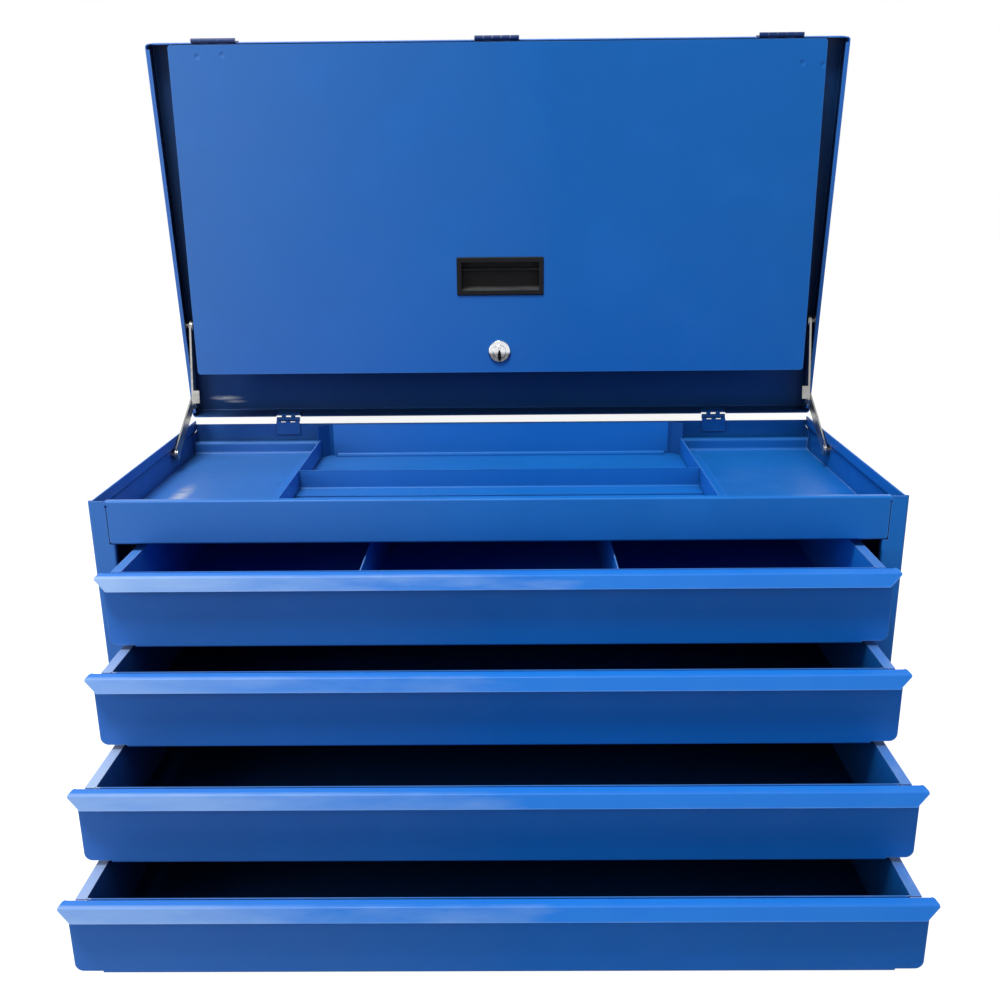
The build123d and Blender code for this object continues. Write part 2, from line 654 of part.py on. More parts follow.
with BuildPart() as lock_housing:
    rod(lock_face_radius, (0, sheet_front_y - lock_face_proud / 2, lock_z), lock_face_proud, "Y")
    fillet(lock_housing.faces().sort_by(Axis.Y)[0].edges(), 1.2)
    rod(lock_barrel_radius, (0, (sheet_front_y + barrel_back_y) / 2, lock_z), barrel_back_y - sheet_front_y, "Y")
    rod(plug_radius + running_gap, (0, lock_face_y, lock_z), 40, "Y", Mode.SUBTRACT)
save(lock_housing, "lock_housing")

with BuildPart() as lock_nut:
    with BuildSketch(Plane.XZ.offset(-sheet_back_y - nut_depth)):
        with Locations((0, lock_z)):
            RegularPolygon(nut_radius, 6)
            Circle(lock_barrel_radius, mode=Mode.SUBTRACT)
    extrude(amount=nut_depth)
save(lock_nut, "lock_nut")

cam_y = sheet_back_y + 3.5  # clears the sill behind the closed flap
plug_front_y = lock_face_y - plug_proud

with BuildPart() as lock_plug:
    rod(plug_radius, (0, (plug_front_y + cam_y) / 2, lock_z), cam_y - plug_front_y, "Y")
    fillet(lock_plug.faces().sort_by(Axis.Y)[0].edges(), 0.5)
    block((-keyway[0] / 2, keyway[0] / 2), (plug_front_y - 1, plug_front_y + 3),
          (lock_z - keyway[1] / 2, lock_z + keyway[1] / 2), Mode.SUBTRACT)
    block((-3, 3), (cam_y - 0.2, cam_y + cam_sheet), (lock_z - 3, lock_z + 3))
save(lock_plug, "lock_plug")

with BuildPart() as lock_cam:
    with BuildSketch(Plane.XZ.offset(-cam_y - cam_sheet)):
        with Locations((0, lock_z)):
            Circle(cam_width / 2 + 1)
        with Locations(((cam_length - 3) / 2, lock_z)):
            RectangleRounded(cam_length + 3 - 0.01, cam_width, 2.5)
        with Locations((0, lock_z)):
            Rectangle(6, 6, mode=Mode.SUBTRACT)
    extrude(amount=cam_sheet)
save(lock_cam, "lock_cam")

with BuildPart() as lock_cam_screw:
    with BuildSketch(Plane.XZ.offset(-cam_y - cam_sheet - 1.6)):
        with Locations((0, lock_z)):
            RegularPolygon(4.6, 6)
    extrude(amount=1.6)
save(lock_cam_screw, "lock_cam_screw")

# ---------------------------------------------------------------- stays


def meet(a, b, ra, rb, sign):
    """Where two bars of lengths ra and rb, from points a and b, meet."""
    d = hypot(b[0] - a[0], b[1] - a[1])
    along = (ra * ra - rb * rb + d * d) / (2 * d)
    off = (ra * ra - along * along) ** 0.5
    u = ((b[0] - a[0]) / d, (b[1] - a[1]) / d)
    return a[0] + along * u[0] + sign * off * u[1], a[1] + along * u[1] - sign * off * u[0]


stay_foot = (back_y - stay_pivot_back, rim_z - stay_pivot_drop)
stud_closed = (hinge_y - stay_stud_radius * cos(radians(stay_stud_angle)),
               hinge_z + stay_stud_radius * sin(radians(stay_stud_angle)))
stud = opened_point(*stud_closed)
elbow = meet(stay_foot, stud, stay_lower_length, stay_upper_length, 1)
elbow_closed = meet(stay_foot, stud_closed, stay_lower_length, stay_upper_length, 1)


def heading(a, b):
    return degrees(atan2(b[1] - a[1], b[0] - a[0]))


lower_turn = heading(stay_foot, elbow_closed) - heading(stay_foot, elbow)
upper_turn = (heading(elbow_closed, stud_closed) - heading(elbow, stud)) % 360 - lower_turn
print(f"stay foot {stay_foot}, elbow {elbow}, stud {stud}, stud closed {stud_closed}")
print(f"lower follows {lower_turn / -lid_open_angle:.5f}, upper follows {upper_turn / -lid_open_angle:.5f}")
print(f"flap hinge {flap_y:.3f} {flap_z:.3f}, flap low {flap_low_z:.2f}, lock {lock_z:.2f}, pull {pull_z:.2f}")

lower_x = inside_x - stay_side_gap - stay_sheet  # inner face of the lower bar
upper_x = lower_x - stay_bar_gap - stay_sheet  # inner face of the upper bar


def bar_plane(a, b, x):
    """A sketch plane on the bar from a to b: local x along it, local y across it, normal outward."""
    t = radians(heading(a, b))
    return Plane(origin=(x, a[0], a[1]), x_dir=(0, cos(t), sin(t)), z_dir=(1, 0, 0))


with BuildPart() as stay_lower_link_right:
    with BuildSketch(bar_plane(stay_foot, elbow, lower_x)):
        with Locations((stay_lower_length / 2, 0)):
            SlotCenterToCenter(stay_lower_length, stay_width)
        Circle(stay_rivet_radius + running_gap, mode=Mode.SUBTRACT)
        with Locations((stay_lower_length, 0)):
            Circle(stay_rivet_radius, mode=Mode.SUBTRACT)
    extrude(amount=stay_sheet)
save(stay_lower_link_right, "stay_lower_link_right")

with BuildPart() as stay_upper_link_right:
    with BuildSketch(bar_plane(elbow, stud, upper_x)):
        with Locations((stay_upper_length / 2, 0)):
            SlotCenterToCenter(stay_upper_length, stay_width)
        with Locations((stay_tab_length / 4, stay_width / 4)):
            Rectangle(stay_tab_length / 2, stay_width / 2)
        Circle(stay_rivet_radius + running_gap, mode=Mode.SUBTRACT)
    extrude(amount=stay_sheet)
    with BuildSketch(bar_plane(elbow, stud, upper_x - stay_tab_reach)):
        with Locations((stay_tab_length / 2, stay_width / 2 - stay_sheet / 2)):
            Rectangle(stay_tab_length, stay_sheet)
    extrude(amount=stay_tab_reach + stay_sheet / 2)
    with BuildSketch(bar_plane(elbow, stud, upper_x - stay_head)):
        with Locations((stay_upper_length, 0)):
            Circle(stay_head_radius)
    extrude(amount=stay_head)
save(stay_upper_link_right, "stay_upper_link_right")

with BuildPart() as stay_elbow_rivet_right:
    inner_head = upper_x - stay_bar_gap - stay_head
    outer_head = lower_x + stay_sheet + stay_flat_head
    rod(stay_rivet_radius, ((inner_head + outer_head) / 2, *elbow), outer_head - inner_head)
    rod(stay_width / 2 - stay_sheet - stay_bar_gap, (inner_head + stay_head / 2, *elbow), stay_head)
    rod(stay_head_radius, (outer_head - stay_flat_head / 2, *elbow), stay_flat_head)
save(stay_elbow_rivet_right, "stay_elbow_rivet_right")

for right, name in ((stay_lower_link_right, "stay_lower_link_left"), (stay_upper_link_right, "stay_upper_link_left"),
                    (stay_elbow_rivet_right, "stay_elbow_rivet_left")):
    with BuildPart() as left:
        mirror(right.part, about=Plane.YZ)
    save(left, name)

spacer = stay_side_gap - stay_bar_gap
spacer_radius = min(stay_head_radius, step_z - stay_bend_gap - stay_foot[1])  # below the side's step

with BuildPart() as stay_cabinet_rivets:
    for s in (-1, 1):
        inner_head = lower_x - stay_bar_gap - stay_head
        rod(stay_rivet_radius, (s * (inner_head + inside_x) / 2, *stay_foot), inside_x - inner_head)
        rod(stay_head_radius, (s * (inner_head + stay_head / 2), *stay_foot), stay_head)
        rod(spacer_radius, (s * (inside_x - spacer / 2), *stay_foot), spacer)
save(stay_cabinet_rivets, "stay_cabinet_rivets")

with BuildPart() as stay_lid_studs:
    for s in (-1, 1):
        tip = upper_x + stay_sheet + stay_stud_gap
        rod(stay_rivet_radius, (s * (tip + inside_x) / 2, *stud), inside_x - tip)
        rod(stay_head_radius, (s * (inside_x - 0.75), *stud), 1.5)
save(stay_lid_studs, "stay_lid_studs")

# ---------------------------------------------------------------- carry handles on the sides

grip_x = half_width + saddle_sheet + 0.5 + grip_wire  # line on which a bail turns
half_span = grip_span / 2
saddle_y = half_span - barrel_length / 2

with BuildPart() as handle_brackets_right:
    for s in (-1, 1):
        y = s * saddle_y
        block((half_width, half_width + saddle_sheet), (y - saddle_size[0] / 2, y + saddle_size[0] / 2),
              (grip_height - 5, grip_height - 5 + saddle_size[1]))
        rod(grip_wire + saddle_sheet + 0.1, (grip_x, y, grip_height), barrel_length, "Y")
        block((half_width, grip_x), (y - barrel_length / 2, y + barrel_length / 2),
              (grip_height + grip_wire + 0.1, grip_height + grip_wire + 0.1 + saddle_sheet))
        rod(grip_wire + 0.05, (grip_x, y, grip_height), barrel_length + 2, "Y", Mode.SUBTRACT)
        block((half_width + saddle_sheet, grip_x + 12), (y - saddle_size[0], y + saddle_size[0]),
              (grip_height - 12, grip_height - 3.0), Mode.SUBTRACT)
save(handle_brackets_right, "handle_brackets_right")

with BuildPart() as handle_brackets_left:
    mirror(handle_brackets_right.part, about=Plane.YZ)
save(handle_brackets_left, "handle_brackets_left")

with BuildPart() as side_handle_right:
    end_y = half_span + grip_end - grip_wire
    start_y = half_span - barrel_length - 4
    with BuildLine() as bail:
        FilletPolyline((grip_x, -start_y, grip_height), (grip_x, -end_y, grip_height),
                       (grip_x, -end_y, grip_height - grip_drop), (grip_x, end_y, grip_height - grip_drop),
                       (grip_x, end_y, grip_height), (grip_x, start_y, grip_height), radius=grip_corner - 2)
    with BuildSketch(Plane(origin=bail.line @ 0, z_dir=bail.line % 0)):
        Circle(grip_wire)
    sweep(path=bail.line)
save(side_handle_right, "side_handle_right")

with BuildPart() as side_handle_left:
    mirror(side_handle_right.part, about=Plane.YZ)
save(side_handle_left, "side_handle_left")
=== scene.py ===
"""Looks for the portable tool box: enamelled steel, zinc-plated fittings, a black pull and a chrome lock."""

import json
import math

import bpy
from mathutils import Matrix, Vector


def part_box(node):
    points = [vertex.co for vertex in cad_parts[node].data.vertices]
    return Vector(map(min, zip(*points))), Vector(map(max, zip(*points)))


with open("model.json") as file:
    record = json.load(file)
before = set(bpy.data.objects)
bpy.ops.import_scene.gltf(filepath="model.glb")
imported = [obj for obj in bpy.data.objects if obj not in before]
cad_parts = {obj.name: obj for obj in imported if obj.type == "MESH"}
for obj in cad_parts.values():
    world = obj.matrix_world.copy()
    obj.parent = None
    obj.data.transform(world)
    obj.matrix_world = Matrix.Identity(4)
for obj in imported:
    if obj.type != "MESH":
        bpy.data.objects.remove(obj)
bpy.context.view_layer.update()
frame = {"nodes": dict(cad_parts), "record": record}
nodes = frame["nodes"]
slot_of = {s["node"]: s["material_slot"] for s in frame["record"]["subparts"]}

# ---------------------------------------------------------------- camera

PICTURE_WIDTH = 1000  # pixels; the next two values are for a square picture of this width
FOCAL_PIXELS = 1252.96
AXIS_ROW = 662.12  # row of the optical axis, from the top of the picture
PITCH, YAW, ROLL = math.radians(21.09), math.radians(0.65), math.radians(0.55)
CAMERA_PLACE = Vector((0.01229, -1.16431, 0.54625))
SENSOR = 36.0  # millimetres


def make_camera():
    """The photographer's place: square on, above the rim, with the picture's centre raised by a shift."""
    right = Vector((math.cos(YAW), math.sin(YAW), 0))
    ahead = Vector((-math.sin(YAW) * math.cos(PITCH), math.cos(YAW) * math.cos(PITCH), -math.sin(PITCH)))
    up = right.cross(ahead)
    tilted_right = right * math.cos(ROLL) - up * math.sin(ROLL)
    tilted_up = right * math.sin(ROLL) + up * math.cos(ROLL)
    data = bpy.data.cameras.new("camera")
    data.sensor_width = SENSOR
    data.lens = FOCAL_PIXELS * SENSOR / PICTURE_WIDTH
    data.shift_y = (AXIS_ROW - PICTURE_WIDTH / 2) / PICTURE_WIDTH
    data.clip_start, data.clip_end = 0.05, 50
    cam = bpy.data.objects.new("camera", data)
    bpy.context.scene.collection.objects.link(cam)
    turn = Matrix((tilted_right, tilted_up, -ahead)).transposed()
    cam.matrix_world = Matrix.Translation(CAMERA_PLACE) @ turn.to_4x4()
    bpy.context.scene.camera = cam


make_camera()

# ---------------------------------------------------------------- node tree


class Nodes:
    """A material's node tree, with short ways to add what the surfaces here need."""

    def __init__(self, name):
        self.material = bpy.data.materials.new(name)
        self.material.use_nodes = True
        self.tree = self.material.node_tree
        self.shader = self.tree.nodes["Principled BSDF"]
        self.place = self.tree.nodes.new("ShaderNodeTexCoord").outputs["Object"]
        self.split = self.tree.nodes.new("ShaderNodeSeparateXYZ")
        self.link(self.place, self.split.inputs[0])

    def link(self, a, b):
        self.tree.links.new(a, b)

    def noise(self, scale, detail=4.0, roughness=0.5, stretch=(1, 1, 1)):
        mapping = self.tree.nodes.new("ShaderNodeMapping")
        mapping.inputs["Scale"].default_value = stretch
        self.link(self.place, mapping.inputs["Vector"])
        node = self.tree.nodes.new("ShaderNodeTexNoise")
        node.inputs["Scale"].default_value = scale
        node.inputs["Detail"].default_value = detail
        node.inputs["Roughness"].default_value = roughness
        self.link(mapping.outputs["Vector"], node.inputs["Vector"])
        return node.outputs["Fac"]

    def span(self, value, low, high, start=0.3, end=0.7, smooth=False):
        """value, from start to end, spread over low to high."""
        node = self.tree.nodes.new("ShaderNodeMapRange")
        if smooth:
            node.interpolation_type = "SMOOTHSTEP"
        node.inputs["From Min"].default_value = start
        node.inputs["From Max"].default_value = end
        node.inputs["To Min"].default_value = low
        node.inputs["To Max"].default_value = high
        self.link(value, node.inputs["Value"])
        return node.outputs["Result"]

    def math(self, kind, first, *rest):
        """first, joined with each of the rest in turn; any of them may be a plain number."""
        for value in rest:
            node = self.tree.nodes.new("ShaderNodeMath")
            node.operation = kind
            for socket, operand in zip(node.inputs, (first, value)):
                if isinstance(operand, (int, float)):
                    socket.default_value = operand
                else:
                    self.link(operand, socket)
            first = node.outputs[0]
        return first

    def multiply(self, *values):
        return self.math("MULTIPLY", *values)

    def add(self, *values):
        return self.math("ADD", *values)

    def length(self, vector):
        node = self.tree.nodes.new("ShaderNodeVectorMath")
        node.operation = "LENGTH"
        self.link(vector, node.inputs[0])
        return node.outputs["Value"]

    def spot(self, centre, radii, soft):
        """1 inside an ellipsoid about centre, falling to 0 at its edge over the share soft of its radii."""
        mapping = self.tree.nodes.new("ShaderNodeMapping")
        mapping.inputs["Scale"].default_value = [1 / r for r in radii]
        mapping.inputs["Location"].default_value = [-c / r for c, r in zip(centre, radii)]
        self.link(self.place, mapping.inputs["Vector"])
        return self.span(self.length(mapping.outputs["Vector"]), 1, 0, 1 - soft, 1, smooth=True)

    def axis(self, letter):
        """The piece's own X, Y or Z, in metres."""
        return self.split.outputs[letter]

    def ragged_x(self, ragged, by):
        """The piece's own X, moved by up to by either way, so that a border along it isn't straight."""
        return self.add(self.axis("X"), self.span(ragged, -by, by))

    def above(self, letter, value, soft=0.0002):
        return self.span(self.axis(letter), 0, 1, value - soft, value + soft)

    def below(self, letter, value, soft=0.0002):
        return self.span(self.axis(letter), 1, 0, value - soft, value + soft)

    def folds(self, radius):
        """1 along folds and edges, within radius of them, and 0 on flat sheet."""
        bevel = self.tree.nodes.new("ShaderNodeBevel")
        bevel.samples = 4
        bevel.inputs["Radius"].default_value = radius
        dot = self.tree.nodes.new("ShaderNodeVectorMath")
        dot.operation = "DOT_PRODUCT"
        self.link(bevel.outputs["Normal"], dot.inputs[0])
        self.link(self.tree.nodes.new("ShaderNodeNewGeometry").outputs["Normal"], dot.inputs[1])
        return self.span(dot.outputs["Value"], 1, 0, 0.8, 0.99)

    def openness(self, reach, start, end, samples=6):
        """1 on open surfaces, falling to 0 deep in a corner or a box."""
        node = self.tree.nodes.new("ShaderNodeAmbientOcclusion")
        node.samples = samples
        node.inputs["Distance"].default_value = reach
        return self.span(node.outputs["AO"], 0, 1, start, end)

    def mix(self, share, a, b):
        """Colour a, turning into b as share goes from 0 to 1; each is a colour or a socket."""
        node = self.tree.nodes.new("ShaderNodeMix")
        node.data_type = "RGBA"
        first, second = node.inputs[6], node.inputs[7]  # several sockets share the names A and B
        for socket, value in ((first, a), (second, b)):
            if isinstance(value, tuple):
                socket.default_value = (*value, 1)
            else:
                self.link(value, socket)
        self.link(share, node.inputs["Factor"])
        return node.outputs[2]

    def bump(self, height, strength, distance, under=None):
        node = self.tree.nodes.new("ShaderNodeBump")
        node.inputs["Strength"].default_value = strength
        node.inputs["Distance"].default_value = distance
        self.link(height, node.inputs["Height"])
        if under:
            self.link(under, node.inputs["Normal"])
        return node.outputs["Normal"]

    def feed(self, name, socket):
        """Links a socket into the shader's input of that name."""
        self.link(socket, self.shader.inputs[name])

    def set(self, **values):
        for name, value in values.items():
            self.shader.inputs[name.replace("_", " ")].default_value = value


def shade(colour, times, plus=0.0):
    """A colour multiplied by times, with plus added to each of its parts."""
    return tuple(min(1, c * times + plus) for c in colour)


# ---------------------------------------------------------------- enamel

# colours are linear
BLUE = (0.011, 0.195, 0.69)
# the lid, flap, drawer-front, top-drawer-inside, divider and till blues are lighter and darker copies of the
# one body blue: painted light and shade for how light falls on each part
LID_LIT_BLUE = (0.03, 0.2, 0.7)
FLAP_SHADED_BLUE = (0.0088, 0.155, 0.55)
FRONT_LIT_BLUE = (0.009, 0.2, 0.8)
INSIDE_LIT_BLUE = (0.05, 0.3, 0.86)  # inside the top drawer; a lighter copy, painted light
DIVIDER_LIT_BLUE = (0.02, 0.24, 0.8)
TILL_SHADED_BLUE = (0.0105, 0.18, 0.62)  # the open tray under the lid; a darker copy, painted shade
# the flap hinges' leaves: a dark copy of the blue, painted shade
HINGE_SHADE = (0.006, 0.035, 0.16)
PLATE_SHADE = (0.006, 0.075, 0.3)  # painted shade on the back plate's ends; it is also the colour painted along the folds and edges of the tray's two inner plates
# a lighter copy of the blue, painted light on the drawer lips
LIP_LIT_BLUE = (0.03, 0.27, 0.84)
FOLD_HIGHLIGHT = (0.22, 0.40, 0.86)  # painted highlight along folds and sheet edges
# the painted highlight along folds for the till and the top drawer's dividers, the drawer fronts and the
# drawer trays; the fronts' one is also the painted sheen on the lips' faces, the trays' one the painted
# glare on the flanges
TILL_HIGHLIGHT = (0.5, 0.64, 0.96)
LIP_HIGHLIGHT = (0.52, 0.72, 0.98)
FLANGE_HIGHLIGHT = (0.6, 0.74, 0.98)
# a pale painted sheen over the left of the body
PAINTED_SHEEN = (0.55, 0.65, 1.0)
# the lid's smudges, and the painted glare on the tray floor
SMEAR_AND_GLARE_WHITE = (0.95, 0.96, 0.92)

LEFT_END, MIDDLE = -0.34, 0.02  # the painted sheen runs out from the body's left end to a little past its middle
DEEPEST = 0.05  # share of the colour left in the painted shade deep in a box, where depth is 0


def sprayed(m, colour):
    """Faint drifts and clouds of tone, a pale painted sheen towards the left end, and specks of dust."""
    drift = m.span(m.noise(2.2, 3), 0, 1, 0.35, 0.65)
    tone = m.mix(drift, shade(colour, 0.93), colour)
    cloud = m.span(m.noise(14, 5), 0, 0.55, 0.5, 0.72)
    tone = m.mix(cloud, tone, shade(colour, 1.07, 0.003))
    sheen = m.span(m.ragged_x(m.noise(3.5), 0.06), 0.09, 0, LEFT_END, MIDDLE)
    tone = m.mix(sheen, tone, PAINTED_SHEEN)
    dust = m.span(m.noise(900, 3, 0.6), 0, 0.28, 0.66, 0.8)
    return m.mix(dust, tone, shade(colour, 0.7, 0.06))


def add_smears_and_glare(m, tone, smears_and_glare):
    """Pale streaks, each a (centre, radii, strength), kept off the lid's outer face: bare-looking smudges on
    the lid, and a painted glare on the tray floor.
    """
    lean = m.add(m.axis("Y"), m.multiply(m.axis("Z"), LID_LEAN))
    near_side = m.span(lean, 1, 0, LID_INNER + 0.0004, LID_INNER + 0.0008)
    for centre, radii, strength in smears_and_glare:
        streak = m.span(m.noise(120, 4, 0.6, (0.35, 1, 1.6)), 0.3 * strength, strength, 0.36, 0.5)
        streak = m.multiply(streak, near_side)
        tone = m.mix(m.multiply(m.spot(centre, radii, 1.0), streak), tone, SMEAR_AND_GLARE_WHITE)
    return tone


def orange_peel(m, dimples):
    """The skin of sprayed paint over slightly wavy sheet, with each (centre, radius) a shallow dimple."""
    normal = m.bump(m.noise(620, 2, 0.4), 0.08, 0.0004)
    normal = m.bump(m.noise(9, 2), 0.10, 0.002, normal)
    for centre, radius in dimples:
        normal = m.bump(m.spot(centre, (radius,) * 3, 0.7), 0.9, -0.0006, normal)
    return normal


def enamel(
    name,
    colour=BLUE,
    dimples=(),
    smears_and_glare=(),
    painted_light=(),
    depth=0.0,
    reach=0.16,
    edge=0.5,
    fold=0.0016,
    fold_light_or_shade=FOLD_HIGHLIGHT,
    gap=(0.08, 0.62),
    samples=6,
):
    """Sprayed and baked enamel, with a soft gloss that wanders.
    Along folds and sheet edges, within fold of them, it is painted by as much as edge with a highlight,
    which on the tray's two inner plates is dark instead.
    It gets painted shade deep in a box, down to depth, where the openness within reach is low in the range
    gap.
    Dimples are spot welds under the paint; the (mask, colour) pairs are painted light and shade, and the
    streaks are smudges and a painted glare."""
    m = Nodes(name)
    tone = sprayed(m, colour)
    for mask, painted_colour in painted_light:
        tone = m.mix(mask(m), tone, painted_colour)
    highlight_spread = m.multiply(m.folds(fold), m.span(m.noise(45, 4, 0.6, (0.3, 1, 1)), 0.25, 1), edge)
    tone = m.mix(highlight_spread, tone, fold_light_or_shade)
    deepest_shade = shade(colour, DEEPEST + (1 - DEEPEST) * depth)
    tone = m.mix(m.openness(reach, *gap, samples), deepest_shade, tone)
    if smears_and_glare:
        tone = add_smears_and_glare(m, tone, smears_and_glare)
    m.feed("Base Color", tone)
    m.feed("Roughness", m.span(m.noise(38), 0.33, 0.45))
    m.feed("Normal", orange_peel(m, dimples))
    m.set(Specular_IOR_Level=0.2)
    return m.material


# ---------------------------------------------------------------- zinc, chrome and plastic

ZINC = (0.42, 0.415, 0.40)
ZINC_STAIN = (0.2, 0.19, 0.17)
CHROME_DARK, CHROME_LIGHT = (0.66, 0.67, 0.69), (0.8, 0.81, 0.83)
# a painted dark reflection round the lock's lower half
DARK_REFLECTION = (0.02, 0.022, 0.025)
KEY_BLACK = (0.006, 0.006, 0.007)
MOULDED_BLACK = (0.0045, 0.0045, 0.0055)
RECESS_SHADE = (0.0008, 0.0008, 0.0012)
FINGER_GREY = (0.085, 0.088, 0.092)

LOCK_Z = sum(corner[2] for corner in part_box("lock_housing")) / 2
# the key slot, painted black and larger than the real slot: the slot itself with painted shade round it
KEY_SLOT = (0, 0.1386, LOCK_Z - 0.0042)
KEY_SLOT_RADII = (0.0022, 0.05, 0.0066)
PULL_FACE_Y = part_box("flap_handle")[0][1]
PULL_LOW_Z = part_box("flap_handle")[0][2]


def zinc(name):
    """Bright zinc plate: spangle, small stains and a rolled grain."""
    m = Nodes(name)
    spangle = m.noise(160, 3, 0.6)
    tone = m.mix(m.span(spangle, 0, 1), shade(ZINC, 0.82), ZINC)
    stain = m.span(m.noise(40, 5), 0, 0.5, 0.55, 0.75)
    m.feed("Base Color", m.mix(stain, tone, ZINC_STAIN))
    m.feed("Roughness", m.span(spangle, 0.24, 0.42))
    m.feed("Normal", m.bump(m.noise(420, 2, 0.5, (1, 0.15, 1)), 0.15, 0.0002))
    m.set(Metallic=1.0)
    return m.material


def chrome(name):
    """Polished chrome, with the key slot painted black larger than the real slot, for the slot and its
    painted shade, and a painted dark reflection round its lower half.
    """
    m = Nodes(name)
    tone = m.mix(m.span(m.noise(60, 3), 0, 1), CHROME_DARK, CHROME_LIGHT)
    dark_reflection = m.multiply(m.below("Z", LOCK_Z - 0.0012, 0.0016), m.span(m.noise(300, 3), 0.7, 1), 0.93)
    tone = m.mix(dark_reflection, tone, DARK_REFLECTION)
    tone = m.mix(m.spot(KEY_SLOT, KEY_SLOT_RADII, 0.35), tone, KEY_BLACK)
    m.feed("Base Color", tone)
    m.feed("Roughness", m.span(m.noise(240, 3), 0.1, 0.2))
    m.set(Metallic=1.0)
    return m.material


def moulded(name):
    """Black moulded plastic with a fine spark-eroded texture, painted shade deep in its recess, and greyed
    by fingers low in the recess.
    """
    m = Nodes(name)
    tone = m.mix(m.span(m.noise(30), 0, 1), MOULDED_BLACK, shade(MOULDED_BLACK, 1.9))
    tone = m.mix(m.openness(0.03, 0.1, 0.8), RECESS_SHADE, tone)
    band = m.multiply(
        m.above("Z", PULL_LOW_Z + 0.0036, 0.0003),
        m.below("Z", PULL_LOW_Z + 0.0078, 0.0006),
        m.above("Y", PULL_FACE_Y + 0.0012, 0.0006),
    )
    tone = m.mix(m.multiply(band, m.span(m.noise(90), 0.5, 1)), tone, FINGER_GREY)
    m.feed("Base Color", tone)
    m.feed("Roughness", m.span(m.noise(300, 3), 0.4, 0.56))
    m.feed("Normal", m.bump(m.noise(2600, 2, 0.7), 0.2, 0.0001))
    m.set(Specular_IOR_Level=0.15)
    return m.material


# ---------------------------------------------------------------- marks, and painted light and shade

LID_LEAN = 0.1299  # how far the open lid's sheet comes forward per metre of height
LID_INNER = 0.2057 + LID_LEAN * 0.3105  # Y plus LID_LEAN times Z, all over the inner face of that sheet
# (centre, radii, strength)
# GLARE is a painted highlight: a soft glare on the tray floor, drawn as a pale streak; SMEARS are smudges on
# the lid's inside
GLARE = [((-0.297, -0.02, 0.2739), (0.012, 0.055, 0.008), 0.5)]
SMEARS = [
    ((-0.297, 0.204, 0.3275), (0.022, 0.006, 0.0035), 1.0),
    ((-0.288, 0.203, 0.3235), (0.016, 0.006, 0.0022), 0.8),
]

WELD_Y = 0.1385  # within the flap's sheet
WELD_RADIUS = 0.0032
WELD_PLACES = ((-0.282, 0.6558), (-0.2584, 0.6572), (0.3063, 0.6433), (0.2874, 0.6452))  # X, Z
WELDS = [((x, WELD_Y, z), WELD_RADIUS) for x, z in WELD_PLACES]

TRAY_INNER = (-0.2884, 0.2884)  # X of the inner faces of every drawer's sides
LIP_DEPTH = 0.0122  # a drawer front counts as lip this far back from its foremost edge
LIP_SHEEN = (0.62, 0.42, 0.45, 0.5)  # share of the painted sheen at the left end, from the top drawer down
# share of the painted glare on the flanges at the left end, from the top drawer down
FLANGE_GLARE = (0.08, 0.5, 0.7, 0.6)
PLATE_END_X = 0.1765  # the back plate's ends start here, to either side
PLATE_END_Y = 0.12


def lip_sheen(number):
    """The pull lip of a drawer front: its leaning face gets a painted sheen, most towards the left, and the
    whole lip gets patches of painted light.
    """
    (_, low_y, _), (_, _, high_z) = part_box(f"drawer_{number}_front")
    face_y = low_y + LIP_DEPTH

    def face(m):
        highlight_spread = m.ragged_x(m.noise(16, 4, 0.6, (0.5, 1, 3)), 0.12)
        side = m.span(highlight_spread, LIP_SHEEN[number - 1], 0.02, -0.32, 0.02)
        return m.multiply(m.below("Y", face_y), m.below("Z", high_z - 0.0011), side)

    def top(m):
        return m.multiply(m.below("Y", face_y), m.span(m.noise(30), 0.1, 0.3))

    return [(top, LIP_LIT_BLUE), (face, LIP_HIGHLIGHT)]


def inside_of(number):
    """The inner faces of a drawer's tray."""
    (_, _, low_z), (_, high_y, high_z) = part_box(f"drawer_{number}_tray")
    left, right = TRAY_INNER

    def inside(m):
        return m.multiply(
            m.above("X", left),
            m.below("X", right),
            m.below("Y", high_y - 0.0004),
            m.below("Z", high_z - 0.0005),
            m.above("Z", low_z + 0.0004),
        )

    return inside


def flange_glare(number):
    """The tops of a drawer's side flanges, with a painted glare, strongest towards the left."""
    _, (_, _, high_z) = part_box(f"drawer_{number}_tray")
    left, right = TRAY_INNER

    def top(m):
        highlight_spread = m.ragged_x(m.noise(60, 4, 0.6, (1, 0.3, 1)), 0.2)
        side = m.span(highlight_spread, FLANGE_GLARE[number - 1], 0.12, -0.28, 0.28)
        flanges = m.add(m.below("X", left + 0.001), m.above("X", right - 0.001))
        return m.multiply(m.above("Z", high_z - 0.0009), m.multiply(flanges, side))

    return [(top, FLANGE_HIGHLIGHT)]


def shaded_plate_ends(m):
    """Painted shade on the ends of the tray's back plate, which are darker than the rest."""
    ends = m.add(m.below("X", -PLATE_END_X), m.above("X", PLATE_END_X))
    return m.multiply(m.above("Y", PLATE_END_Y), ends)


# ---------------------------------------------------------------- which piece gets which

by_slot = {
    "blue_paint": enamel("blue_enamel"),
    "zinc_steel": zinc("zinc_plate"),
    "chrome": chrome("chromed"),
    "black_plastic": moulded("black_moulded"),
}
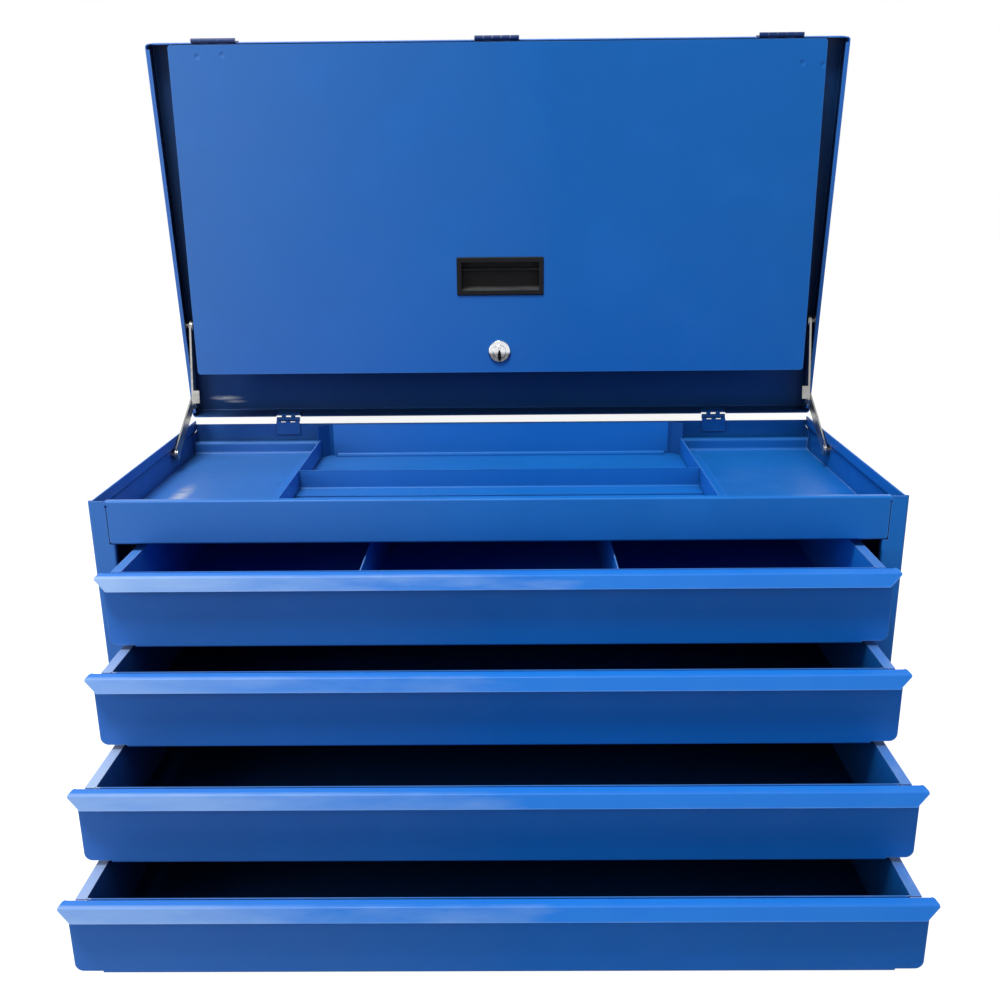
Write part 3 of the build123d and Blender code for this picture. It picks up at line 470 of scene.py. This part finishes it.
# painted shade deep in the till: how far it looks for cover, and the share of the colour left at its darkest
till = {"reach": 0.06, "depth": 0.3}
by_node = {
    # the lid gets a wide, strong painted shade on its inside, under the flap
    "lid_shell": enamel("blue_enamel_lid", LID_LIT_BLUE, smears_and_glare=SMEARS, reach=0.3, gap=(0.1, 0.72), samples=16),
    "flap_panel": enamel("blue_enamel_flap", FLAP_SHADED_BLUE, dimples=WELDS, edge=0.3),
    "tray_floor": enamel(
        "blue_enamel_till", TILL_SHADED_BLUE, smears_and_glare=GLARE, edge=1.0, fold=0.0028, fold_light_or_shade=TILL_HIGHLIGHT, **till
    ),
}
for number in (1, 2, 3, 4):
    by_node[f"drawer_{number}_front"] = enamel(
        f"blue_enamel_front_{number}", FRONT_LIT_BLUE, painted_light=lip_sheen(number), edge=0.35, fold_light_or_shade=LIP_HIGHLIGHT, reach=0.05
    )
    painted_light, depth = flange_glare(number), 0.0
    if number == 1:  # its inside shows in the photograph
        # the top drawer's inside gets a lighter copy of the blue, painted light, and no painted shade deep
        # in it
        painted_light, depth = [(inside_of(1), INSIDE_LIT_BLUE), *painted_light], 1.0
    by_node[f"drawer_{number}_tray"] = enamel(
        f"blue_enamel_tray_{number}", painted_light=painted_light, depth=depth, edge=0.3, fold_light_or_shade=FLANGE_HIGHLIGHT
    )
for side in ("left", "right"):
    by_node[f"drawer_1_divider_{side}"] = enamel(
        f"blue_enamel_divider_{side}", DIVIDER_LIT_BLUE, depth=0.6, edge=1.0, fold_light_or_shade=TILL_HIGHLIGHT
    )
    by_node[f"tray_divider_{side}"] = enamel(f"blue_enamel_till_{side}", edge=0.8, **till)
# the tray's two inner plates are painted dark along their folds and edges, and the back plate's ends get
# painted shade
for name, painted_light in (("tray_cross_divider", ()), ("tray_back_plate", [(shaded_plate_ends, PLATE_SHADE)])):
    by_node[name] = enamel(
        f"blue_enamel_{name}", TILL_SHADED_BLUE, painted_light=painted_light, edge=1.0, fold=0.0026, fold_light_or_shade=PLATE_SHADE, **till
    )
# the flap hinges' leaves get a dark copy of the blue, painted shade
hinge_shade = enamel("blue_enamel_hinge", HINGE_SHADE, edge=0.2)
for name in ("flap_hinge_flap_leaves", "flap_hinge_lid_leaves"):
    by_node[name] = hinge_shade

EDGE_ROUND = 0.0003  # metres
EDGE_ANGLE = math.radians(35)


def paint(piece, material):
    piece.data.materials.clear()
    piece.data.materials.append(material)


def soften(piece):
    """Rounds a CAD piece's sharp edges a little, as bent and deburred sheet is."""
    weld = piece.modifiers.new("weld", "WELD")
    weld.merge_threshold = 0.00001
    bevel = piece.modifiers.new("bevel", "BEVEL")
    bevel.width = EDGE_ROUND
    bevel.segments = 2
    bevel.limit_method = "ANGLE"
    bevel.angle_limit = EDGE_ANGLE
    bevel.loop_slide = False  # sliding along the loops draws out a spike
    bevel.harden_normals = False
    for face in piece.data.polygons:
        face.use_smooth = True
    normals = piece.modifiers.new("normals", "WEIGHTED_NORMAL")
    normals.keep_sharp = False
    normals.weight = 80


for name, piece in nodes.items():
    paint(piece, by_node.get(name, by_slot[slot_of[name]]))
    soften(piece)

# ---------------------------------------------------------------- floor and light

FLOOR_SIZE = 14
FLOOR_CENTRE = (0, 2, 0)  # behind the box
FLOOR_TONE = 0.35
FLOOR_GLOW = 0.76  # at the floor's centre; it rises to 1 further out, which takes in the box
GLOW_FROM, GLOW_TO = 0.4, 1.1  # metres from the floor's centre
WORLD_TINT = (0.96, 0.98, 1, 1)
WORLD_LIGHT = 0.22
WHITE = (1, 1, 1, 1)


def seen_directly(tree):
    """1 for rays that show a background: from the camera, mirrored, or through glass."""
    path = tree.nodes.new("ShaderNodeLightPath")
    total = path.outputs["Is Camera Ray"]
    for kind in ("Is Glossy Ray", "Is Transmission Ray"):
        either = tree.nodes.new("ShaderNodeMath")
        either.operation = "MAXIMUM"
        tree.links.new(total, either.inputs[0])
        tree.links.new(path.outputs[kind], either.inputs[1])
        total = either.outputs[0]
    return total


def make_stage():
    """A floor that looks white and takes a soft shadow."""
    bpy.ops.mesh.primitive_plane_add(size=FLOOR_SIZE, location=FLOOR_CENTRE)
    floor = bpy.context.object
    floor.name = "floor"
    m = Nodes("floor_paint")
    m.set(Base_Color=(FLOOR_TONE, FLOOR_TONE, FLOOR_TONE, 1), Roughness=0.95, Specular_IOR_Level=0.0)
    m.set(Emission_Color=WHITE)
    glow = m.span(m.length(m.place), FLOOR_GLOW, 1.0, GLOW_FROM, GLOW_TO)
    m.feed("Emission Strength", m.multiply(seen_directly(m.tree), glow))
    floor.data.materials.append(m.material)


def make_world():
    """White where it is seen, and dim where it lights the box."""
    world = bpy.data.worlds.new("studio")
    bpy.context.scene.world = world
    world.use_nodes = True
    tree = world.node_tree
    background = tree.nodes["Background"]
    background.inputs["Color"].default_value = WORLD_TINT
    background.inputs["Strength"].default_value = WORLD_LIGHT
    seen = tree.nodes.new("ShaderNodeBackground")
    seen.inputs["Color"].default_value = WHITE
    seen.inputs["Strength"].default_value = 1.0
    mixed = tree.nodes.new("ShaderNodeMixShader")
    tree.links.new(seen_directly(tree), mixed.inputs["Fac"])
    tree.links.new(background.outputs[0], mixed.inputs[1])
    tree.links.new(seen.outputs[0], mixed.inputs[2])
    tree.links.new(mixed.outputs[0], tree.nodes["World Output"].inputs["Surface"])


def area(name, place, target, size, watts):
    """A white rectangular lamp at place, turned to target."""
    data = bpy.data.lights.new(name, "AREA")
    data.shape = "RECTANGLE"
    data.size, data.size_y = size
    data.energy = watts
    lamp = bpy.data.objects.new(name, data)
    bpy.context.scene.collection.objects.link(lamp)
    lamp.location = place
    lamp.rotation_euler = (Vector(target) - Vector(place)).to_track_quat("-Z", "Y").to_euler()


make_stage()
make_world()
area("softbox", (-0.55, -1.05, 2.75), (0, 0, 0.3), (1.1, 0.8), 60)
area("window", (-1.6, -1.7, 0.8), (-0.1, -0.2, 0.25), (0.7, 0.9), 7)
area("side_window", (-2.3, -0.4, 0.9), (0, 0, 0.35), (0.8, 1.2), 4)

bpy.context.scene.view_settings.view_transform = "Standard"
